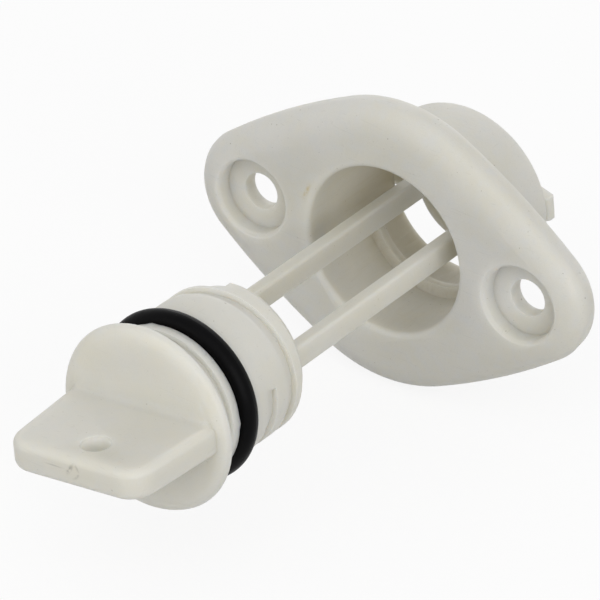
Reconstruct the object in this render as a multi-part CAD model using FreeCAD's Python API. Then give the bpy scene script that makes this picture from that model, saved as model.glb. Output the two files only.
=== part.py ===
import FreeCAD, Part
import math
import os

# Captive drain plug for a hull or transom: a flanged socket, a winged screw plug that stays
# caught in it by two long legs, and the O-ring that seals the plug.
#
# Every piece is drawn with its axis along +Z, outboard side up, and the socket's mounting face at
# zero height. The last step turns them so that outboard is -Y, up is +Z and X joins the two screws.

V = FreeCAD.Vector
ORIGIN = V(0, 0, 0)
AXIS = V(0, 0, 1)

# Socket
hole_spacing = 41.0
screw_hole_dia = 5.0
counterbore_dia = 10.2
counterbore_floor = 2.3
counterbore_rim_round = 0.5
flange_thickness = 4.6
crown_radius = 19.8
ear_radius = 8.8
flank_radius = 93.0
side_wall_height = 2.1
side_wall_draft = 0.25
shoulder_width = 4.1
tube_dia = 25.4
tube_length = 14.3
tube_end_round = 0.7
bore_dia = 22.9
bore_taper = 0.25
bore_land_depth = 9.0
mouth_round = 0.8

# Thread shared by the plug's groove and the socket's rib
thread_pitch = 4.0
rib_base_width = 2.0
rib_crest_width = 1.1
thread_engagement = 0.35
thread_side_clearance = 0.2
groove_floor_clearance = 0.25
rib_sweep_deg = 165.0
groove_start_past_wing_deg = 5.0
groove_start_below_seal = 4.85
stop_gap_deg = 9.5
entry_start_past_wing_deg = 87.0
entry_sweep_deg = 150.0
entry_below_seal = 9.2
entry_depth = 1.2

# Plug head
disc_dia = 24.7
disc_thickness = 1.5
disc_round_width = 2.0
disc_round_height = 1.2
neck_dia = 20.4
neck_length = 4.5
relief_width = 0.9
relief_depth = 0.7
barrel_dia = 20.7
barrel_length = 11.9
nose_chamfer = 0.6
nose_chamfer_length = 0.9
core_dia = 10.4
core_end_wall = 8.0

# O-ring and its groove
seal_section = 2.94
seal_running_clearance = 0.05
groove_side_clearance = 0.08

# Wing handle
wing_root_width = 22.0
wing_tip_width = 19.8
wing_thickness = 4.1
wing_height = 14.3
wing_corner_radius = 3.4
wing_edge_round = 1.1
wing_root_fillet = 1.3
lanyard_hole_dia = 3.8
lanyard_hole_from_tip = 4.4
lanyard_hole_offset = 0.8
wing_turn_deg = 8.0

# Captive legs
leg_thickness = 2.1
leg_width = 3.1
leg_edge_round = 0.4
cage_dia = 15.4
cage_length = 65.9
ring_wall = 1.8
ring_height = 3.8
hook_reach_dia = 25.0
hook_root_thickness = 3.8
hook_tip_thickness = 1.5
hook_tip_round = 0.5

# Straight steps that make up a curve
shoulder_steps = 7
round_steps = 3
seal_sides = 12

# How the pieces stand to each other
seat_clearance = 0.1
pulled_out_gap = 0.3

# Derived sizes
bore_radius = bore_dia / 2
bore_back_radius = bore_radius - bore_taper
seal_outer_radius = bore_radius - seal_running_clearance
seal_mean_radius = seal_outer_radius - seal_section / 2
seal_groove_half = seal_section / 2 + groove_side_clearance
seal_groove_floor = seal_outer_radius - seal_section - seal_running_clearance
barrel_radius = barrel_dia / 2
rib_crest_radius = barrel_radius - thread_engagement
thread_floor_radius = rib_crest_radius - groove_floor_clearance
disc_back = seal_groove_half + neck_length
disc_front = disc_back + disc_thickness
groove_start_deg = wing_turn_deg + groove_start_past_wing_deg
hook_front = cage_length - hook_root_thickness
seal_height_closed = flange_thickness + seat_clearance - disc_back
seal_height_pulled = hook_front - tube_length - pulled_out_gap


def turned(profile):
    """Solid of revolution about the axis from (radius, height) corners."""
    corners = [V(radius, 0, height) for radius, height in profile]
    wire = Part.makePolygon(corners + corners[:1])
    return Part.Face(wire).revolve(ORIGIN, AXIS, 360)


def cylinder(dia, bottom, top, x=0.0, y=0.0):
    return Part.makeCylinder(dia / 2, top - bottom, V(x, y, bottom))


def quarter_round(centre, width, height, start_deg):
    """Corners of a rounded edge in a (radius, height) profile, a quarter turn on from start_deg."""
    points = []
    for step in range(round_steps + 1):
        angle = math.radians(start_deg + 90 * step / round_steps)
        points.append((centre[0] + width * math.cos(angle), centre[1] + height * math.sin(angle)))
    return points


def flange_outline(inset, height):
    """Round crown above and below, a round ear at each screw, and slightly bowed flanks between."""
    ear_centre = V(hole_spacing / 2, 0, height)
    to_ear = flank_radius - ear_radius
    to_crown = flank_radius - crown_radius
    along = (to_crown ** 2 - to_ear ** 2 + ear_centre.x ** 2) / (2 * ear_centre.x)
    flank_centre = V(along, -math.sqrt(to_crown ** 2 - along ** 2), height)
    ear_lean = math.atan2(-flank_centre.y, ear_centre.x - flank_centre.x)
    crown_lean = math.atan2(-flank_centre.y, -flank_centre.x)
    flank_lean = (ear_lean + crown_lean) / 2

    def on_arc(centre, radius, lean, side_x, side_y):
        x = centre.x + (radius - inset) * math.cos(lean)
        y = centre.y + (radius - inset) * math.sin(lean)
        return V(side_x * x, side_y * y, height)

    edges = []
    for side in (1, -1):
        ear_start = on_arc(ear_centre, ear_radius, ear_lean, side, -side)
        ear_tip = on_arc(ear_centre, ear_radius, 0, side, side)
        ear_end = on_arc(ear_centre, ear_radius, ear_lean, side, side)
        flank_middle = on_arc(flank_centre, flank_radius, flank_lean, side, side)
        crown_start = on_arc(V(0, 0, height), crown_radius, crown_lean, side, side)
        crown_top = V(0, side * (crown_radius - inset), height)
        crown_end = on_arc(V(0, 0, height), crown_radius, crown_lean, -side, side)
        far_flank_middle = on_arc(flank_centre, flank_radius, flank_lean, -side, side)
        far_ear = on_arc(ear_centre, ear_radius, ear_lean, -side, side)
        edges.append(Part.Arc(ear_start, ear_tip, ear_end).toShape())
        edges.append(Part.Arc(ear_end, flank_middle, crown_start).toShape())
        edges.append(Part.Arc(crown_start, crown_top, crown_end).toShape())
        edges.append(Part.Arc(crown_end, far_flank_middle, far_ear).toShape())
    return Part.Wire(edges)


def flange():
    """Flat-backed plate with a low side wall and a wide rounded shoulder."""
    sections = [flange_outline(side_wall_draft, 0)]
    shoulder_height = flange_thickness - side_wall_height
    for step in range(shoulder_steps + 1):
        lean = math.pi / 2 * step / shoulder_steps
        inset = shoulder_width * (1 - math.cos(lean))
        height = side_wall_height + shoulder_height * math.sin(lean)
        sections.append(flange_outline(inset, height))
    return Part.makeLoft(sections, True, True)


def screw_recess(x):
    """Screw hole with a flat-bottomed counterbore whose rim is slightly flared."""
    hole = cylinder(screw_hole_dia, -1, flange_thickness + 1, x)
    radius = counterbore_dia / 2
    flare = radius + counterbore_rim_round
    profile = [
        (0, counterbore_floor),
        (radius, counterbore_floor),
        (radius, flange_thickness - counterbore_rim_round),
        (flare, flange_thickness + 0.001),
        (flare, flange_thickness + 1),
        (0, flange_thickness + 1),
    ]
    recess = turned(profile)
    recess.translate(V(x, 0, 0))
    return hole.fuse(recess)


def helical_bar(start, sweep_deg, inner, outer, inner_width, outer_width):
    """Bar of tapered section that climbs one pitch a turn; start is (angle, height) of its low end."""
    start_deg, start_height = start
    rise = thread_pitch * sweep_deg / 360
    path = Part.makeHelix(thread_pitch, rise, (inner + outer) / 2)
    corners = [
        V(inner, 0, -inner_width / 2),
        V(outer, 0, -outer_width / 2),
        V(outer, 0, outer_width / 2),
        V(inner, 0, inner_width / 2),
    ]
    section = Part.makePolygon(corners + corners[:1])
    bar = Part.Wire(path.Edges).makePipeShell([section], True, True)
    bar.rotate(ORIGIN, AXIS, start_deg)
    bar.translate(V(0, 0, start_height))
    return bar


def groove_height(angle_deg):
    """Height of the thread's centre line above the seal, at an angle past the groove's start."""
    return -groove_start_below_seal + thread_pitch * (angle_deg - groove_start_deg) / 360


def thread_rib():
    """Rib inside the bore that fills the plug's groove when the plug is screwed home."""
    top_deg = groove_start_deg - stop_gap_deg
    low_deg = top_deg - rib_sweep_deg
    low_height = seal_height_closed + groove_height(low_deg)
    root_radius = bore_radius + 0.3
    flank = (rib_base_width - rib_crest_width) / 2 / (bore_radius - rib_crest_radius)
    root_width = rib_crest_width + 2 * flank * (root_radius - rib_crest_radius)
    start = (low_deg, low_height)
    return helical_bar(start, rib_sweep_deg, rib_crest_radius, root_radius, rib_crest_width, root_width)


def make_socket():
    tube_radius = tube_dia / 2
    end_centre = (tube_radius - tube_end_round, tube_end_round - tube_length)
    end_round = quarter_round(end_centre, tube_end_round, tube_end_round, -90)
    tube = turned([(0, -tube_length)] + end_round + [(tube_radius, side_wall_height), (0, side_wall_height)])
    body = flange().fuse(tube)
    for x in (-hole_spacing / 2, hole_spacing / 2):
        body = body.cut(screw_recess(x))
    mouth_centre = (bore_radius + mouth_round, flange_thickness - mouth_round)
    mouth = quarter_round(mouth_centre, mouth_round, mouth_round, 90)
    bore = turned(
        [(0, flange_thickness + 1), (bore_radius + mouth_round, flange_thickness + 1)]
        + mouth
        + [
            (bore_radius, flange_thickness - bore_land_depth),
            (bore_back_radius, -tube_length - 0.001),
            (bore_back_radius, -tube_length - 1),
            (0, -tube_length - 1),
        ]
    )
    return body.cut(bore).removeSplitter().fuse(thread_rib())


def make_o_ring(seal_height):
    """Round-section ring about the axis."""
    corners = []
    for side in range(seal_sides):
        angle = math.radians(360 * side / seal_sides)
        radius = seal_mean_radius + seal_section / 2 * math.cos(angle)
        corners.append((radius, seal_height + seal_section / 2 * math.sin(angle)))
    return turned(corners)


def plug_head():
    """Disc, neck, O-ring groove and threaded barrel, turned about the axis; the seal is at zero."""
    relief_radius = neck_dia / 2 - relief_depth
    barrel_end = -barrel_length
    round_centre = (disc_dia / 2 - disc_round_width, disc_front - disc_round_height)
    front_round = quarter_round(round_centre, disc_round_width, disc_round_height, 0)
    head = turned([(0, disc_front)] + front_round[::-1] + [
        (disc_dia / 2, disc_back),
        (relief_radius, disc_back),
        (relief_radius, disc_back - relief_width),
        (neck_dia / 2, disc_back - relief_width),
        (neck_dia / 2, seal_groove_half),
        (seal_groove_floor, seal_groove_half),
        (seal_groove_floor, -seal_groove_half),
        (barrel_radius, -seal_groove_half),
        (barrel_radius, barrel_end + nose_chamfer_length),
        (barrel_radius - nose_chamfer, barrel_end),
        (0, barrel_end),
    ])
    core = cylinder(core_dia, -barrel_length - 1, disc_front - core_end_wall)
    return head.cut(core).cut(thread_entry()).cut(thread_groove())


def thread_groove():
    """Right-hand groove with a blunt end near the seal, running out into the entry recess."""
    outer = barrel_radius + 1
    wider = 2 * thread_side_clearance
    flank = (rib_base_width - rib_crest_width) / 2 / (bore_radius - rib_crest_radius)
    floor_width = rib_crest_width + wider
    mouth_width = floor_width + 2 * flank * (outer - rib_crest_radius)
    entry_middle_deg = entry_start_past_wing_deg + entry_sweep_deg / 2
    sweep_deg = 720 + groove_start_past_wing_deg - entry_middle_deg
    low_deg = groove_start_deg - sweep_deg
    start = (low_deg, groove_height(low_deg))
    return helical_bar(start, sweep_deg, thread_floor_radius, outer, floor_width, mouth_width)


def thread_entry():
    """Part-turn recess in the barrel's end, through which the rib reaches the groove."""
    inner = barrel_radius - entry_depth
    outer = barrel_radius + 1
    bottom = -barrel_length - 1
    corners = [
        V(inner, 0, -entry_below_seal),
        V(outer, 0, -entry_below_seal),
        V(outer, 0, bottom),
        V(inner, 0, bottom),
    ]
    wire = Part.makePolygon(corners + corners[:1])
    recess = Part.Face(wire).revolve(ORIGIN, AXIS, entry_sweep_deg)
    recess.rotate(ORIGIN, AXIS, wing_turn_deg + entry_start_past_wing_deg)
    return recess


def wing():
    """Thick plate on the disc, a little narrower at its tip, with a lanyard hole."""
    root = disc_back + disc_thickness / 3
    tip = disc_front + wing_height
    half_root = wing_root_width / 2
    half_tip = wing_tip_width / 2
    corners = [
        V(-half_root, 0, root),
        V(half_root, 0, root),
        V(half_tip, 0, tip),
        V(-half_tip, 0, tip),
    ]
    wire = Part.makePolygon(corners + corners[:1])
    plate = Part.Face(wire).extrude(V(0, wing_thickness, 0))
    plate.translate(V(0, -wing_thickness / 2, 0))
    plate = plate.makeFillet(wing_corner_radius, tip_corner_edges(plate, tip))
    plate = plate.makeFillet(wing_edge_round, plate_rim_edges(plate, root))
    hole = Part.makeCylinder(lanyard_hole_dia / 2, 2 * wing_thickness, V(0, -wing_thickness, 0), V(0, 1, 0))
    hole.translate(V(lanyard_hole_offset, 0, tip - lanyard_hole_from_tip))
    return plate.cut(hole)


def wing_outline(grow, height):
    """Rounded outline of the wing at a height, each face moved out by grow."""
    root = disc_back + disc_thickness / 3
    taper = (wing_root_width - wing_tip_width) / 2 / (disc_front + wing_height - root)
    half_width = wing_root_width / 2 - taper * (height - root) - wing_edge_round / 4
    half_thickness = wing_thickness / 2 + grow
    radius = wing_edge_round + grow
    slant = radius * math.sqrt(0.5)
    edges = []
    for side in (1, -1):
        centre_x = side * (half_width - radius)
        centre_y = side * (half_thickness - radius)
        start = V(side * half_width, -centre_y, height)
        corner_start = V(side * half_width, centre_y, height)
        corner_middle = V(centre_x + side * slant, centre_y + side * slant, height)
        corner_end = V(centre_x, side * half_thickness, height)
        far_start = V(-centre_x, side * half_thickness, height)
        far_middle = V(-centre_x - side * slant, centre_y + side * slant, height)
        far_end = V(-side * half_width, centre_y, height)
        edges.append(Part.makeLine(start, corner_start))
        edges.append(Part.Arc(corner_start, corner_middle, corner_end).toShape())
        edges.append(Part.makeLine(corner_end, far_start))
        edges.append(Part.Arc(far_start, far_middle, far_end).toShape())
    return Part.Wire(edges)


def wing_root_blend():
    """Concave blend between the wing's two faces and the disc's front."""
    centre = (wing_root_fillet, disc_front + wing_root_fillet)
    steps = quarter_round(centre, wing_root_fillet, wing_root_fillet, 180)
    steps.append((wing_root_fillet, disc_front - disc_thickness / 3))
    return Part.makeLoft([wing_outline(grow, height) for grow, height in steps], True, True)


def tip_corner_edges(plate, tip):
    """The two edges through the plate's thickness at its tip."""
    found = []
    for edge in plate.Edges:
        ends = [vertex.Point for vertex in edge.Vertexes]
        across = abs(ends[0].y - ends[1].y) > wing_thickness / 2
        if across and abs(ends[0].z - tip) < 1e-4:
            found.append(edge)
    return found


def plate_rim_edges(plate, root):
    """All edges of the plate's two faces except those buried in the disc."""
    found = []
    for edge in plate.Edges:
        box = edge.BoundBox
        on_a_face = box.YMax - box.YMin < 1e-4
        if on_a_face and box.ZMax > root + 1e-4:
            found.append(edge)
    return found


def leg(side):
    """Straight strip whose outer face follows the cage's round."""
    inner = cage_dia / 2 - leg_thickness
    start = barrel_length - nose_chamfer_length
    box = Part.makeBox(leg_thickness, leg_width, cage_length - start, V(inner, -leg_width / 2, -cage_length))
    strip = box.common(cylinder(cage_dia, -cage_length, -start))
    long_edges = [edge for edge in strip.Edges if edge.BoundBox.ZLength > leg_width]
    strip = strip.makeFillet(leg_edge_round, long_edges)
    if side < 0:
        strip.rotate(ORIGIN, AXIS, 180)
    return strip


def hook(side):
    """Barb at a leg's end: square towards the socket, sloped behind so that it snaps through."""
    inner = cage_dia / 2 - leg_thickness
    reach = hook_reach_dia / 2
    front = -hook_front
    corners = [
        V(inner, 0, front),
        V(reach, 0, front),
        V(reach, 0, front - hook_tip_thickness),
        V(cage_dia / 2, 0, -cage_length),
        V(inner, 0, -cage_length),
    ]
    wire = Part.makePolygon(corners + corners[:1])
    barb = Part.Face(wire).extrude(V(0, leg_width, 0))
    barb.translate(V(0, -leg_width / 2, 0))
    tip_edges = []
    for edge in barb.Edges:
        box = edge.BoundBox
        if box.YMax - box.YMin > leg_width / 2 and box.XMin > reach - 1e-4:
            tip_edges.append(edge)
    barb = barb.makeFillet(hook_tip_round, tip_edges)
    if side < 0:
        barb.rotate(ORIGIN, AXIS, 180)
    return barb


def cage_ring():
    outer = cylinder(cage_dia, -cage_length, ring_height - cage_length)
    inner = cylinder(cage_dia - 2 * ring_wall, -cage_length - 1, ring_height - cage_length + 1)
    return outer.cut(inner)


def make_plug(seal_height):
    """One moulding: handle, head, two legs, the ring that joins them and a barb on each leg."""
    in_line = [wing(), wing_root_blend(), cage_ring()]
    for side in (1, -1):
        in_line += [leg(side), hook(side)]
    for piece in in_line:
        piece.rotate(ORIGIN, AXIS, wing_turn_deg)
    plug = plug_head().multiFuse(in_line).removeSplitter()
    plug.translate(V(0, 0, seal_height))
    return plug


def in_row_frame(shape):
    """Outboard from +Z to -Y, so that the flange stands upright."""
    shape.rotate(ORIGIN, V(1, 0, 0), 90)
    return shape


os.makedirs("parts", exist_ok=True)
nodes = {
    "socket": make_socket(),
    "plug": make_plug(seal_height_pulled),
    "o_ring": make_o_ring(seal_height_pulled),
}
for name, shape in nodes.items():
    in_row_frame(shape).exportStep("parts/" + name + ".step")
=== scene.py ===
import math

import bmesh
import bpy
from mathutils import Matrix, Vector


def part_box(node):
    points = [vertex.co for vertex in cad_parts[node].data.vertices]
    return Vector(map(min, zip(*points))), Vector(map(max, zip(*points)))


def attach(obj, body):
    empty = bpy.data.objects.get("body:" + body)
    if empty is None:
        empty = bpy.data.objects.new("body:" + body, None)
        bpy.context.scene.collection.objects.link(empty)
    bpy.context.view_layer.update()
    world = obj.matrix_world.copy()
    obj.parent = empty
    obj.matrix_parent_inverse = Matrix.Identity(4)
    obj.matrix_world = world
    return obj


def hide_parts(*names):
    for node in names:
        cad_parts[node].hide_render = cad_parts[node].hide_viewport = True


# Looks of a captive drain plug: white nylon socket and plug, black rubber O-ring.
# Lengths are in metres unless a name ends in _mm.

MM = 0.001

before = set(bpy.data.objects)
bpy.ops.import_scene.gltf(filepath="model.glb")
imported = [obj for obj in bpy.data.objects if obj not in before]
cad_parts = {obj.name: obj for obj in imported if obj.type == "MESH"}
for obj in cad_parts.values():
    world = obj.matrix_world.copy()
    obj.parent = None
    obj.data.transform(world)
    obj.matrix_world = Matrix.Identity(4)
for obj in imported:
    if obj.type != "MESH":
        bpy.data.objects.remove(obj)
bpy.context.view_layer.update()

# Places on the part, in its own frame: the bore's axis is Y, outboard is -Y.
seal_low, seal_high = (Vector(corner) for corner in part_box("o_ring"))
plug_low, plug_high = (Vector(corner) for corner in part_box("plug"))
SEAL_Y_MM = (seal_low.y + seal_high.y) / 2 / MM
WING_TIP_Y_MM = plug_low.y / MM
DISC_FRONT_Y_MM = WING_TIP_Y_MM + 14.3
WING_TURN = math.radians(8.0)
SIDE_WALL_TOP_Y_MM = -2.1
NECK_STEP_Y_MM = SEAL_Y_MM - 5.15
NECK_STEP_SHIFT_MM = 2.2
NECK_FLOOR_RADIUS_MM = 9.4
COLLAR_EDGE_Y_MM = SEAL_Y_MM - 1.55
FLASH_NIBS = (math.radians(6.0), math.radians(107.0))
FLASH_NIB_MM = 0.14
FOLD_MM2 = 0.1
LANYARD_HOLE_MM = (0.8, WING_TIP_Y_MM + 4.4)
LANYARD_HOLE_RADIUS_MM = 1.9
YELLOW_STREAK_MM = (-11.9, 4.3)
YELLOW_STREAK_LEAN = math.radians(69.0)
GATE_SCAR_MM = (0.25, 0.35)


class Value:
    """A node socket that can be written in plain sums."""

    def __init__(self, maker, socket):
        self.maker = maker
        self.socket = socket

    def maths(self, operation, *others, clamp=False):
        return self.maker.maths(operation, self, *others, clamp=clamp)

    def __add__(self, other):
        return self.maths("ADD", other)

    def __radd__(self, other):
        return self.maker.maths("ADD", other, self)

    def __sub__(self, other):
        return self.maths("SUBTRACT", other)

    def __rsub__(self, other):
        return self.maker.maths("SUBTRACT", other, self)

    def __mul__(self, other):
        return self.maths("MULTIPLY", other)

    def __rmul__(self, other):
        return self.maker.maths("MULTIPLY", other, self)

    def __truediv__(self, other):
        return self.maths("DIVIDE", other)

    def __rtruediv__(self, other):
        return self.maker.maths("DIVIDE", other, self)

    def __pow__(self, other):
        return self.maths("POWER", other)

    def size(self):
        return self.maths("ABSOLUTE")

    def between(self, low, high):
        """0 below low, 1 above high, and smooth in between; low may be the larger number."""
        return self.maker.node(
            "ShaderNodeMapRange",
            {"interpolation_type": "SMOOTHSTEP"},
            {"Value": self, "From Min": low, "From Max": high},
        )

    def near(self, centre, reach):
        """1 at the centre, falling smoothly to 0 at reach on both sides."""
        return (self - centre).size().between(reach, 0.0)


class Maker:
    """A node tree and the one way to add a node to it."""

    def __init__(self, tree):
        self.tree = tree

    def node(self, kind, settings=None, inputs=None, output=0):
        made = self.tree.nodes.new(kind)
        for key, value in (settings or {}).items():
            if key == "stops":
                ramp = made.color_ramp.elements
                while len(ramp) < len(value):
                    ramp.new(1.0)
                for element, (place, colour) in zip(ramp, value):
                    element.position = place
                    element.color = colour
            else:
                setattr(made, key, value)
        for key, value in (inputs or {}).items():
            socket = made.inputs[key]
            if isinstance(value, Value):
                self.tree.links.new(value.socket, socket)
            else:
                socket.default_value = value
        return Value(self, made.outputs[output])


class Paint(Maker):
    """One material and the nodes that make it."""

    def __init__(self, name):
        self.material = bpy.data.materials.new(name)
        self.material.use_nodes = True
        super().__init__(self.material.node_tree)
        self.tree.nodes.clear()

    def maths(self, operation, *values, clamp=False):
        settings = {"operation": operation, "use_clamp": clamp}
        return self.node("ShaderNodeMath", settings, dict(enumerate(values)))

    def vector(self, operation, *values, output=0, **named):
        inputs = dict(enumerate(values))
        inputs.update(named)
        return self.node("ShaderNodeVectorMath", {"operation": operation}, inputs, output)

    def mix(self, amount, first, second, blend="MIX"):
        """Colour mix: first at 0, second at 1."""
        settings = {"data_type": "RGBA", "blend_type": blend, "clamp_factor": True}
        return self.node("ShaderNodeMix", settings, {0: amount, 6: first, 7: second}, 2)

    def place_mm(self):
        """Object coordinates in millimetres."""
        place = self.node("ShaderNodeTexCoord", output=3)
        return self.vector("SCALE", place, Scale=1000.0)

    def parts(self, vector):
        split = self.node("ShaderNodeSeparateXYZ", None, {0: vector})
        node = split.socket.node
        return [Value(self, node.outputs[axis]) for axis in range(3)]

    def noise(self, place, per_mm, detail=2.0, roughness=0.5, stretch=None):
        if stretch:
            place = self.vector("MULTIPLY", place, stretch)
        inputs = {"Vector": place, "Scale": per_mm, "Detail": detail, "Roughness": roughness}
        return self.node("ShaderNodeTexNoise", None, inputs)

    def bump(self, height, distance, strength=1.0, under=None):
        inputs = {"Height": height, "Distance": distance, "Strength": strength}
        if under is not None:
            inputs["Normal"] = under
        return self.node("ShaderNodeBump", None, inputs)

    def finish(self, shader):
        output = self.tree.nodes.new("ShaderNodeOutputMaterial")
        self.tree.links.new(shader.socket, output.inputs["Surface"])
        return self.material


class Former(Maker):
    """One Geometry Nodes tree with named inputs, which makes a piece."""

    KINDS = {int: "NodeSocketInt", float: "NodeSocketFloat", bpy.types.Material: "NodeSocketMaterial"}

    def __init__(self, name, sizes):
        super().__init__(bpy.data.node_groups.new(name, "GeometryNodeTree"))
        self.tree.interface.new_socket("Shape", in_out="OUTPUT", socket_type="NodeSocketGeometry")
        self.sizes = sizes
        self.identifiers = {}
        for label, size in sizes.items():
            socket = self.tree.interface.new_socket(label, in_out="INPUT", socket_type=self.KINDS[type(size)])
            self.identifiers[label] = socket.identifier
        entry = self.tree.nodes.new("NodeGroupInput")
        self.inputs = {label: Value(self, entry.outputs[label]) for label in sizes}

    def piece(self, name, shape, sharp_deg):
        """Runs the tree on a new piece and leaves a plain mesh."""
        whole = self.node("GeometryNodeRealizeInstances", None, {"Geometry": shape})
        painted = self.node("GeometryNodeSetMaterial", None, {"Geometry": whole, "Material": self.inputs["Finish"]})
        exit_node = self.tree.nodes.new("NodeGroupOutput")
        self.tree.links.new(painted.socket, exit_node.inputs["Shape"])
        piece = bpy.data.objects.new(name, bpy.data.meshes.new(name))
        modifier = piece.modifiers.new("former", "NODES")
        modifier.node_group = self.tree
        for label, size in self.sizes.items():
            modifier[self.identifiers[label]] = size
        bpy.context.scene.collection.objects.link(piece)
        return settled(piece, sharp_deg)


def srgb(red, green, blue):
    """A colour given as 0-255 screen values."""
    channels = []
    for value in (red, green, blue):
        share = value / 255
        channels.append(share / 12.92 if share <= 0.04045 else ((share + 0.055) / 1.055) ** 2.4)
    return (*channels, 1.0)


NYLON = srgb(214, 213, 208)
NYLON_WARM = srgb(211, 209, 199)
NYLON_COOL = srgb(209, 210, 208)
NYLON_GRAIN = srgb(193, 192, 185)
# The next three colours are painted light and shade: a pale hole wall, a darker bore and a lighter plug.
NYLON_HOLE_LIGHT = srgb(236, 235, 230)
NYLON_BORE_SHADE = srgb(196, 190, 171)
NYLON_PLUG_LIGHT = srgb(222, 219, 206)
SPECK = srgb(128, 118, 100)
YELLOWED = srgb(196, 180, 134)
GREY_SCUFF = srgb(146, 145, 136)


def nylon(name, marks):
    """Satin moulded nylon; marks adds this piece's own blemishes, and its painted light and painted shade, to its
    colour and height.
    """
    paint = Paint(name)
    place = paint.place_mm()
    cloudy = paint.noise(place, 0.09, 3.0)
    blotchy = paint.noise(place, 0.7, 3.0)
    grain = paint.noise(place, 9.0, 2.0)
    colour = paint.mix(cloudy.between(0.35, 0.68), NYLON_WARM, NYLON)
    colour = paint.mix(blotchy.between(0.42, 0.75) * 0.5, colour, NYLON_COOL)
    colour = paint.mix(grain.between(0.3, 0.75) * 0.22, colour, NYLON_GRAIN)
    specks = paint.noise(place, 2.6, 1.0).between(0.765, 0.80)
    colour = paint.mix(specks * 0.55, colour, SPECK)
    along = paint.noise(place, 1.0, 3.0, stretch=(0.12, 2.2, 5.0)).between(0.655, 0.70)
    across = paint.noise(place, 1.0, 3.0, stretch=(4.2, 0.35, 1.6)).between(0.67, 0.71)
    scratches = along * 0.7 + across * 0.6
    colour = paint.mix(scratches * 0.16, colour, GREY_SCUFF)
    height = paint.noise(place, 1.6, 4.0) * 0.5 + grain * 0.16 - scratches * 0.12
    colour, height = marks(paint, place, colour, height)
    roughness = 0.40 + 0.16 * blotchy + 0.10 * scratches
    normal = paint.bump(height, 0.06 * MM, 0.55)
    shader = paint.node("ShaderNodeBsdfPrincipled", {"subsurface_method": "RANDOM_WALK"}, {
        "Base Color": colour,
        "Roughness": roughness,
        "Normal": normal,
        "IOR": 1.53,
        "Specular IOR Level": 0.42,
        "Subsurface Weight": 0.9,
        "Subsurface Radius": (1.0, 0.92, 0.78),
        "Subsurface Scale": 3.2 * MM,
    })
    return paint.finish(shader)


def socket_marks(paint, place, colour, height):
    """Parting line round the flange, a yellowed spot on the mouth's rim, and painted shade inside the bore streaked
    with faint turning marks.
    """
    x, y, z = paint.parts(place)
    from_axis = (x * x + z * z) ** 0.5
    parting = y.near(SIDE_WALL_TOP_Y_MM + 0.1, 0.16) * from_axis.between(15.0, 16.0)
    height = height + parting * 0.35
    aside = x - YELLOW_STREAK_MM[0]
    upward = z - YELLOW_STREAK_MM[1]
    along = aside * math.cos(YELLOW_STREAK_LEAN) + upward * math.sin(YELLOW_STREAK_LEAN)
    across = aside * math.sin(YELLOW_STREAK_LEAN) - upward * math.cos(YELLOW_STREAK_LEAN)
    broken = paint.noise(place, 1.9, 3.0).between(0.30, 0.55)
    streak = along.near(0.0, 1.7) * across.near(0.0, 0.42) * broken * y.between(-3.4, -4.0)
    colour = paint.mix(streak * 0.85, colour, YELLOWED)
    # Painted shade: the bore's wall is painted darker and yellower, streaked by faint turning marks.
    painted_bore_shade = from_axis.between(11.7, 11.2)
    drawn = paint.noise(place, 1.0, 3.0, stretch=(2.4, 0.18, 2.4))
    colour = paint.mix(painted_bore_shade * (0.5 + 0.3 * drawn.between(0.45, 0.8)), colour, NYLON_BORE_SHADE)
    return colour, height + painted_bore_shade * drawn * 0.2


def plug_marks(paint, place, colour, height):
    """Gate scar on the wing's tip with a scratch beside it, the whole plug painted lighter as painted light, and the
    lanyard hole's wall painted pale as painted light.
    """
    x, y, z = paint.parts(place)
    # Painted light: the whole plug's nylon is painted lighter than the socket's.
    colour = paint.mix(0.32, colour, NYLON_PLUG_LIGHT)
    along = x * math.cos(WING_TURN) + z * math.sin(WING_TURN)
    through = z * math.cos(WING_TURN) - x * math.sin(WING_TURN)
    on_tip = y.between(WING_TIP_Y_MM + 0.9, WING_TIP_Y_MM + 0.5)
    ragged = paint.noise(place, 1.8, 4.0)
    sideways = along - GATE_SCAR_MM[0]
    upward = through - GATE_SCAR_MM[1]
    from_gate = (sideways * sideways + upward * upward) ** 0.5
    ring = from_gate.near(1.05, 0.28) * ragged.between(0.40, 0.60) * sideways.between(-0.2, 0.8)
    torn = (sideways - 0.75 * upward + 0.35).near(0.0, 0.55) * from_gate.between(1.2, 0.2) * ragged.between(0.34, 0.56)
    gate = (0.45 * ring + torn) * on_tip
    colour = paint.mix(gate * 0.7, colour, GREY_SCUFF)
    scratch = (upward + 0.03 * sideways).near(0.0, 0.16) * sideways.near(-2.6, 1.9) * on_tip
    colour = paint.mix(scratch * 0.4, colour, GREY_SCUFF)
    height = height - gate * 0.6 - scratch * 0.3
    # Painted light: the lanyard hole's wall is painted pale, standing in for light through the hole.
    beside_hole = along - LANYARD_HOLE_MM[0]
    below_hole = y - LANYARD_HOLE_MM[1]
    from_hole = (beside_hole * beside_hole + below_hole * below_hole) ** 0.5
    painted_hole_light = from_hole.between(LANYARD_HOLE_RADIUS_MM + 0.3, LANYARD_HOLE_RADIUS_MM) * through.size().between(2.0, 1.5)
    colour = paint.mix(painted_hole_light * 0.8, colour, NYLON_HOLE_LIGHT)
    parting = through.near(0.0, 0.12) * y.between(DISC_FRONT_Y_MM, DISC_FRONT_Y_MM - 1.0)
    return colour, height + parting * 0.25 * (1.0 - gate)


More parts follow.
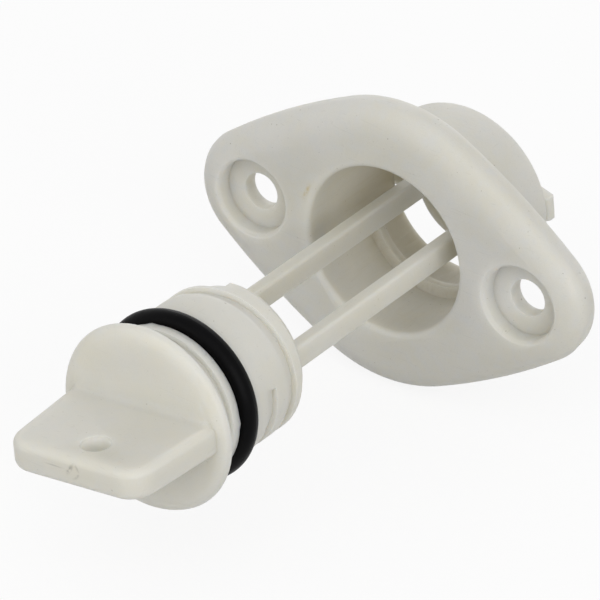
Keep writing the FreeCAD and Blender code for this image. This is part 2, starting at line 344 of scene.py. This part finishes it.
def seal_rubber():
    """Black nitrile: a low sheen, pale dust and the fine flash line of its mould."""
    paint = Paint("seal_rubber")
    place = paint.place_mm()
    x, y, z = paint.parts(place)
    dust = paint.noise(place, 1.4, 4.0).between(0.5, 0.8)
    fine = paint.noise(place, 11.0, 2.0)
    colour = paint.mix(dust * 0.3, srgb(4, 4, 5), srgb(14, 14, 15))
    lint = paint.noise(place, 4.5, 1.0).between(0.80, 0.83)
    colour = paint.mix(lint * 0.5, colour, srgb(120, 120, 118))
    flash = y.near(SEAL_Y_MM, 0.10)
    height = fine * 0.35 + paint.noise(place, 2.0, 3.0) * 0.4 + flash * 0.5
    shader = paint.node("ShaderNodeBsdfPrincipled", None, {
        "Base Color": colour,
        "Roughness": 0.34 + 0.22 * dust + 0.06 * fine,
        "Normal": paint.bump(height, 0.05 * MM, 0.5),
        "IOR": 1.5,
        "Specular IOR Level": 0.06,
    })
    return paint.finish(shader)


def swept_seal(finish):
    """O-ring: a round section carried round a circle about the bore's axis."""
    section_radius = (seal_high.y - seal_low.y) / 2
    ring_radius = (seal_high.x - seal_low.x) / 2 - section_radius
    former = Former("seal_former", {
        "Ring Radius": ring_radius,
        "Section Radius": section_radius,
        "Along Y": (seal_low.y + seal_high.y) / 2,
        "Ring Steps": 192,
        "Section Steps": 40,
        "Finish": finish,
    })
    size = former.inputs
    ring = former.node("GeometryNodeCurvePrimitiveCircle", None, {
        "Resolution": size["Ring Steps"], "Radius": size["Ring Radius"],
    })
    section = former.node("GeometryNodeCurvePrimitiveCircle", None, {
        "Resolution": size["Section Steps"], "Radius": size["Section Radius"],
    })
    swept = former.node("GeometryNodeCurveToMesh", None, {"Curve": ring, "Profile Curve": section})
    place = former.node("ShaderNodeCombineXYZ", None, {"Y": size["Along Y"]})
    upright = former.node("GeometryNodeTransform", None, {
        "Geometry": swept, "Translation": place, "Rotation": (math.radians(90), 0.0, 0.0),
    })
    return former.piece("seal_ring", upright, 60.0)


def closed_runs(work, sharp_deg):
    """Numbers each run of hard edges that closes on itself, and returns how many there are."""
    number = work.edges.layers.int.new("run")
    hard = {
        edge for edge in work.edges
        if len(edge.link_faces) == 2 and edge.calc_face_angle() > math.radians(sharp_deg)
    }
    unseen = set(hard)
    count = 0
    for first in list(work.edges):
        if first not in unseen:
            continue
        unseen.discard(first)
        run = [first]
        for edge in run:
            for end in edge.verts:
                beside = [other for other in end.link_edges if other in unseen]
                unseen.difference_update(beside)
                run.extend(beside)
        ends = [end for edge in run for end in edge.verts]
        if all(sum(edge in hard for edge in end.link_edges) > 1 for end in ends):
            count += 1
            for edge in run:
                edge[number] = count
    return count


def folded(work):
    """Whether the triangles of some face cover clearly more than the face itself."""
    covered = {}
    for corners in work.calc_loop_triangles():
        first, second, third = (corner.vert.co for corner in corners)
        face = corners[0].face
        covered[face] = covered.get(face, 0.0) + (second - first).cross(third - first).length / 2
    return any(area - face.calc_area() > FOLD_MM2 * MM * MM for face, area in covered.items())


def ease_edges(work, width, sharp_deg):
    """Rounds each closed run of hard edges by itself, so that a tight place narrows only its own run.
    A run stays hard where its rounding would fold a face."""
    for which in range(1, closed_runs(work, sharp_deg) + 1):
        eased = work.copy()
        number = eased.edges.layers.int["run"]
        run = [edge for edge in eased.edges if edge[number] == which]
        bmesh.ops.bevel(
            eased, geom=run, offset=width, offset_type="OFFSET", segments=2, profile=0.5,
            affect="EDGES", clamp_overlap=True,
        )
        spare = eased if folded(eased) else work
        work = work if spare is eased else eased
        spare.free()
    return work


def shape_neck(work):
    """Carries the turned-down neck behind the disc further back, which leaves a collar beside the seal,
    and draws two tiny nibs of flash out of the collar's edge."""
    def ring(place_mm):
        return [
            vertex for vertex in work.verts
            if abs(vertex.co.y - place_mm * MM) < 0.05 * MM
            and math.hypot(vertex.co.x, vertex.co.z) > NECK_FLOOR_RADIUS_MM * MM
        ]

    for vertex in ring(NECK_STEP_Y_MM):
        vertex.co.y += NECK_STEP_SHIFT_MM * MM
    for nib in FLASH_NIBS:
        beside = Vector((math.cos(nib), 0.0, math.sin(nib)))
        vertex = max(ring(COLLAR_EDGE_Y_MM), key=lambda found: found.co.dot(beside))
        vertex.co += beside * FLASH_NIB_MM * MM


def moulded_copy(node, name, edge_round_mm, sharp_deg=33.0, reshape=None):
    """The node's own shape, with its triangles joined, its hard edges eased and smooth shading."""
    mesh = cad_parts[node].data.copy()
    mesh.name = name
    mesh.attributes.remove(mesh.attributes["custom_normal"])
    work = bmesh.new()
    work.from_mesh(mesh)
    bmesh.ops.remove_doubles(work, verts=work.verts, dist=0.002 * MM)
    if reshape:
        reshape(work)
    bmesh.ops.dissolve_limit(
        work, angle_limit=math.radians(0.4), use_dissolve_boundaries=False,
        verts=work.verts, edges=work.edges,
    )
    work = ease_edges(work, edge_round_mm * MM, sharp_deg)
    work.to_mesh(mesh)
    work.free()
    mesh.materials.clear()
    piece = bpy.data.objects.new(name, mesh)
    bpy.context.scene.collection.objects.link(piece)
    return settled(piece, sharp_deg)


def settled(piece, sharp_deg):
    """Turns live modifiers into a plain mesh and shades it smooth up to sharp_deg."""
    bpy.context.view_layer.update()
    evaluated = piece.evaluated_get(bpy.context.evaluated_depsgraph_get())
    mesh = bpy.data.meshes.new_from_object(evaluated)
    mesh.name = piece.name
    work = bmesh.new()
    work.from_mesh(mesh)
    bmesh.ops.remove_doubles(work, verts=work.verts, dist=0.001 * MM)
    bmesh.ops.dissolve_degenerate(work, dist=0.0001 * MM, edges=work.edges)
    work.to_mesh(mesh)
    work.free()
    piece.modifiers.clear()
    piece.data = mesh
    mesh.shade_smooth()
    mesh.set_sharp_from_angle(angle=math.radians(sharp_deg))
    return piece


def dress(piece, node, body, material):
    piece.data.materials.clear()
    piece.data.materials.append(material)
    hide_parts(node)
    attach(piece, body)


def floor():
    """Wide white floor just under the flange; it keeps the shadow, and lights the part from below less
    than it shows."""
    half = 3.0
    level = -0.0199
    mesh = bpy.data.meshes.new("floor")
    corners = [(-half, -half, level), (half, -half, level), (half, half, level), (-half, half, level)]
    mesh.from_pydata(corners, [], [(0, 1, 2, 3)])
    piece = bpy.data.objects.new("floor", mesh)
    bpy.context.scene.collection.objects.link(piece)
    paint = Paint("pale_floor")
    path = paint.node("ShaderNodeLightPath")
    seen = paint.maths("MAXIMUM", Value(paint, path.socket.node.outputs["Is Glossy Ray"]), path)
    seen = paint.maths("MAXIMUM", Value(paint, path.socket.node.outputs["Is Transmission Ray"]), seen)
    dull = paint.node("ShaderNodeBsdfDiffuse", None, {"Color": FLOOR_GREY})
    bright = paint.node("ShaderNodeBsdfDiffuse", None, {"Color": FLOOR_WHITE})
    glow = paint.node("ShaderNodeEmission", None, {"Color": FLOOR_WHITE, "Strength": 1.0})
    shown = paint.node("ShaderNodeMixShader", None, {0: FLOOR_GLOW, 1: bright, 2: glow})
    mesh.materials.append(paint.finish(paint.node("ShaderNodeMixShader", None, {0: seen, 1: dull, 2: shown})))


def sky():
    """Even white surround; the camera, reflections and clear plastic see it as plain white."""
    world = bpy.data.worlds.new("studio")
    bpy.context.scene.world = world
    world.use_nodes = True
    tree = world.node_tree
    tree.nodes.clear()
    path = tree.nodes.new("ShaderNodeLightPath")
    seen = tree.nodes.new("ShaderNodeMath")
    seen.operation = "MAXIMUM"
    tree.links.new(path.outputs["Is Camera Ray"], seen.inputs[0])
    mirrored = tree.nodes.new("ShaderNodeMath")
    mirrored.operation = "MAXIMUM"
    tree.links.new(path.outputs["Is Glossy Ray"], mirrored.inputs[0])
    tree.links.new(path.outputs["Is Transmission Ray"], mirrored.inputs[1])
    tree.links.new(mirrored.outputs[0], seen.inputs[1])
    light = tree.nodes.new("ShaderNodeBackground")
    light.inputs["Color"].default_value = (1.0, 1.0, 1.0, 1.0)
    light.inputs["Strength"].default_value = SKY_LEVEL
    white = tree.nodes.new("ShaderNodeBackground")
    white.inputs["Color"].default_value = (1.0, 1.0, 1.0, 1.0)
    white.inputs["Strength"].default_value = 1.0
    both = tree.nodes.new("ShaderNodeMixShader")
    tree.links.new(seen.outputs[0], both.inputs[0])
    tree.links.new(light.outputs[0], both.inputs[1])
    tree.links.new(white.outputs[0], both.inputs[2])
    output = tree.nodes.new("ShaderNodeOutputWorld")
    tree.links.new(both.outputs[0], output.inputs["Surface"])


def softbox(name, place, aim, size, power):
    data = bpy.data.lights.new(name, "AREA")
    data.shape = "SQUARE"
    data.size = size
    data.energy = power
    lamp = bpy.data.objects.new(name, data)
    bpy.context.scene.collection.objects.link(lamp)
    lamp.location = place
    lamp.rotation_euler = (Vector(aim) - Vector(place)).to_track_quat("-Z", "Y").to_euler()


SKY_LEVEL = 0.60
FLOOR_GREY = (0.62, 0.62, 0.62, 1.0)
FLOOR_WHITE = (1.0, 1.0, 1.0, 1.0)
FLOOR_GLOW = 0.85
CAMERA_PLACE = (0.33324, -0.51534, 0.37066)
CAMERA_RIGHT = (0.8138, 0.5799, 0.0395)
CAMERA_UP = (-0.3336, 0.4103, 0.8487)
CAMERA_BACK = (0.4759, -0.7038, 0.5273)
LENS_MM = 339.4


def camera():
    data = bpy.data.cameras.new("camera")
    data.lens = LENS_MM
    data.sensor_width = 36.0
    data.clip_start = 0.05
    eye = bpy.data.objects.new("camera", data)
    bpy.context.scene.collection.objects.link(eye)
    turn = Matrix((CAMERA_RIGHT, CAMERA_UP, CAMERA_BACK)).transposed().to_4x4()
    eye.matrix_world = Matrix.Translation(CAMERA_PLACE) @ turn
    bpy.context.scene.camera = eye


camera()
floor()
sky()
softbox("overhead", (0.30, -0.65, 1.10), (0, -0.02, 0), 0.9, 1.6)
softbox("right", (1.05, -0.65, 0.40), (0, -0.02, 0), 1.0, 6.0)
softbox("left", (-0.45, -1.20, 0.45), (0, -0.02, 0), 1.0, 3.0)
softbox("behind", (-0.60, 1.10, 0.35), (0, -0.02, 0), 0.9, 2.4)
bpy.context.scene.view_settings.view_transform = "Standard"

socket_nylon = nylon("socket_nylon", socket_marks)
plug_nylon = nylon("plug_nylon", plug_marks)

dress(moulded_copy("socket", "drain_socket", 0.18), "socket", "socket", socket_nylon)
dress(moulded_copy("plug", "drain_plug", 0.18, reshape=shape_neck), "plug", "plug", plug_nylon)
rubber = seal_rubber()
dress(swept_seal(rubber), "o_ring", "seal", rubber)
